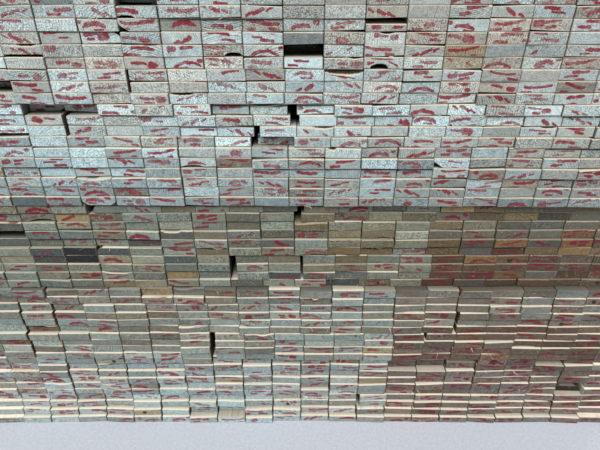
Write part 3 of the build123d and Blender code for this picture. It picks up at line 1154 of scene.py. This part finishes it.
def long_faces(looks):
    """Sawn long face: cream wood with grain running along the board, knots, saw marks and bark.

    Waves are counted per metre. Bands of depth and of the gap to a knot are in metres.
    """
    shade = Shade(bpy.data.materials.new("rough_sawn_faces"))
    log_place = shade.attribute("log_place")
    per_metre, contrast, seed = shade.parts(shade.attribute("grain"))
    x, y, z = shade.parts(shade.attribute("board_place"))

    def streaks(across, along, detail, roughness=0.5):
        """Return noise with so many waves across the board and along it."""
        place = shade.vector(x * across + seed, y * along, z * across)
        return shade.noise(place, 1.0, detail, roughness)

    flow = streaks(9.0, 1.3, 2.0)
    rings = growth_rings(shade, log_place, flow * 3.4 - 1.2, per_metre, seed)
    fibre = streaks(420.0, 7.0, 3.0, 0.6)
    blotch = streaks(16.0, 2.2, 3.0, 0.6)
    saw = shade.noise(shade.vector(x * 6.0, y * 330.0, seed), 1.0, 2.0, 0.6)
    light = 1.0 + (fibre - 0.5) * 0.3 + (blotch - 0.5) * 0.2 + (saw - 0.5) * 0.12
    light = light - rings * contrast * 0.16

    narrow, _, depth = shade.parts(shade.attribute("face"))
    # Painted shade: the sides take the dark narrow-face colour.
    wood = shade.mixed(narrow, (*looks.wide_faces, 1.0), (*looks.shaded_narrow_faces, 1.0))
    weathered = shade.attribute("end_colour", "Color")
    wood = shade.mixed(shade.attribute("face", "Alpha"), wood, weathered)
    colour = shade.mixed(rings * contrast * 0.45, wood, opaque(*LATE_WOOD))
    colour = shade.scaled(colour, light)

    gap = knot_gaps(shade, log_place, y, seed, fibre)
    halo, knot = 1 - shade.ramp(gap, 0.007, 0.022), 1 - shade.ramp(gap, 0.006, 0.008)
    colour = shade.mixed(halo * 0.35, colour, opaque(*KNOT_HALO))
    colour = shade.mixed(knot * 0.85, colour, opaque(*KNOT))

    waned = shade.attribute("end_colour", "Alpha")
    rough = shade.noise(shade.vector(x * 160.0, y * 40.0, z * 160.0), 1.0, 4.0, 0.7)
    bark = shade.scaled(linear(*BARK), rough + 0.5)
    colour = shade.mixed(shade.ramp(waned, 0.3, 0.8) * 0.9, colour, bark)
    # Painted light: a highlight right at the open end, then painted shade deeper into the stack.
    edge = shade.ramp(depth, -0.003, 0.012, 1.2, 0.58)
    colour = shade.scaled(colour, edge * shade.ramp(depth, 0.01, 0.04, 1.0, 0.5))
    height = fibre * 0.5 + saw * 0.6 - rings * 0.2
    return shade.finish(colour, 0.8, height, 0.4 * MM)


class BOARDS_OT_lay_courses(bpy.types.Operator):
    """Lay every course of boards in place of its plain node."""

    bl_idname = "boards.lay_courses"
    bl_label = "Lay courses"

    def execute(self, context):
        looks = context.scene.board_looks
        stack = read_stack()
        for kind in (SOUND, FINE):
            kind.surface, bare, kind.share = board_surfaces(stack, looks, kind)
            kind.values = board_attributes(stack, looks, kind.surface, bare, kind.share, kind)
        tear(stack, FINE.surface, FINE, FINE.share)
        stack.splinters = splinters(stack)
        finishes = long_faces(looks), end_grain(looks)
        for number, node in enumerate(COURSES):
            rows = np.flatnonzero(stack.course == number)
            mesh = course_mesh(f"{node}_boards", stack, rows)
            for finish in finishes:
                mesh.materials.append(finish)
            piece = bpy.data.objects.new(f"{node}_boards", mesh)
            context.scene.collection.objects.link(piece)
            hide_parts(node)
            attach(piece, "root")
        return {"FINISHED"}


def lay_floor(colour):
    """Add a flat floor just under the stack, of a colour with fine grain."""
    half, under = 12.0, 0.5 * MM
    mesh = bpy.data.meshes.new("floor")
    corners = [(-half, -half, 0), (half, -half, 0), (half, half, 0), (-half, half, 0)]
    mesh.from_pydata(corners, [], [(0, 1, 2, 3)])
    shade = Shade(bpy.data.materials.new("pale_floor"))
    grain = shade.noise(shade.node("ShaderNodeTexCoord", output="Object"), 160.0, 3.0, 0.7)
    speckled = shade.scaled(tuple(colour), grain * 0.5 + 0.75)
    mesh.materials.append(shade.finish(speckled, 0.9, grain, 0.3 * MM))
    floor = bpy.data.objects.new("floor", mesh)
    floor.location.z = -under
    bpy.context.scene.collection.objects.link(floor)


def light_world():
    """Light the stack softly from all sides, and show a pale backdrop where nothing stands."""
    world = bpy.data.worlds.new("studio")
    bpy.context.scene.world = world
    shade = Shade(world)
    glow, backdrop = (
        shade.node("ShaderNodeBackground", inputs={"Color": colour, "Strength": strength})
        for colour, strength in (((0.93, 0.97, 1.0, 1.0), 0.38), ((0.8, 0.8, 0.8, 1.0), 1.0))
    )
    seen = shade.node("ShaderNodeLightPath", output="Is Camera Ray")
    either = shade.node("ShaderNodeMixShader", inputs={0: seen, 1: glow, 2: backdrop})
    shade.node("ShaderNodeOutputWorld", inputs={"Surface": either})


def soft_light(name, height, bearing, strength, colour=(1.0, 1.0, 1.0)):
    """Add a soft far light at a height above the floor and a bearing off the front, in degrees."""
    data = bpy.data.lights.new(name, "SUN")
    data.energy, data.angle, data.color = strength, math.radians(36), colour
    lamp = bpy.data.objects.new(name, data)
    lamp.rotation_euler = (math.radians(90 - height), 0, math.radians(bearing))
    bpy.context.scene.collection.objects.link(lamp)


def set_camera(looks):
    """Stand the camera before the top tier, looking down at the stack's front."""
    data = bpy.data.cameras.new("camera")
    data.sensor_width, data.lens = 36.0, 27.3
    camera = bpy.data.objects.new("camera", data)
    top_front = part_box(COURSES[-1])[0].y
    camera.location = (0.0, top_front - looks.camera_distance, looks.camera_height)
    camera.rotation_euler = (math.pi / 2 - looks.camera_pitch, 0, 0)
    bpy.context.scene.collection.objects.link(camera)
    bpy.context.scene.camera = camera


class BOARDS_OT_set_stage(bpy.types.Operator):
    """Put the floor, the lights and the camera round the stack."""

    bl_idname = "boards.set_stage"
    bl_label = "Set stage"

    def execute(self, context):
        looks = context.scene.stage_looks
        lay_floor(looks.floor)
        light_world()
        soft_light("key", height=54, bearing=-8, strength=3.75)
        soft_light("rear", height=32, bearing=150, strength=0.95, colour=(1.0, 0.94, 0.86))
        set_camera(looks)
        context.scene.view_settings.view_transform = "Standard"
        return {"FINISHED"}


class BOARDS_PT_panel(bpy.types.Panel):
    """The steps that dress the stack, in order."""

    bl_label = "Stack of boards"
    bl_space_type = "VIEW_3D"
    bl_region_type = "UI"
    bl_category = "Boards"

    def draw(self, context):
        for group in (context.scene.board_looks, context.scene.stage_looks):
            for name in group.__annotations__:
                self.layout.prop(group, name)
        for step in (BOARDS_OT_lay_courses, BOARDS_OT_set_stage):
            self.layout.operator(step.bl_idname)


CLASSES = (BoardLooks, StageLooks, BOARDS_OT_lay_courses, BOARDS_OT_set_stage, BOARDS_PT_panel)


def register():
    """Add the panel, the operators and their settings."""
    for each in CLASSES:
        bpy.utils.register_class(each)
    bpy.types.Scene.board_looks = bpy.props.PointerProperty(type=BoardLooks)
    bpy.types.Scene.stage_looks = bpy.props.PointerProperty(type=StageLooks)


def unregister():
    """Take the panel, the operators and their settings away."""
    del bpy.types.Scene.stage_looks, bpy.types.Scene.board_looks
    for each in reversed(CLASSES):
        bpy.utils.unregister_class(each)


def main():
    """Register the steps and run them in order."""
    register()
    bpy.ops.boards.lay_courses()
    bpy.ops.boards.set_stage()


if __name__ == "__main__":
    main()
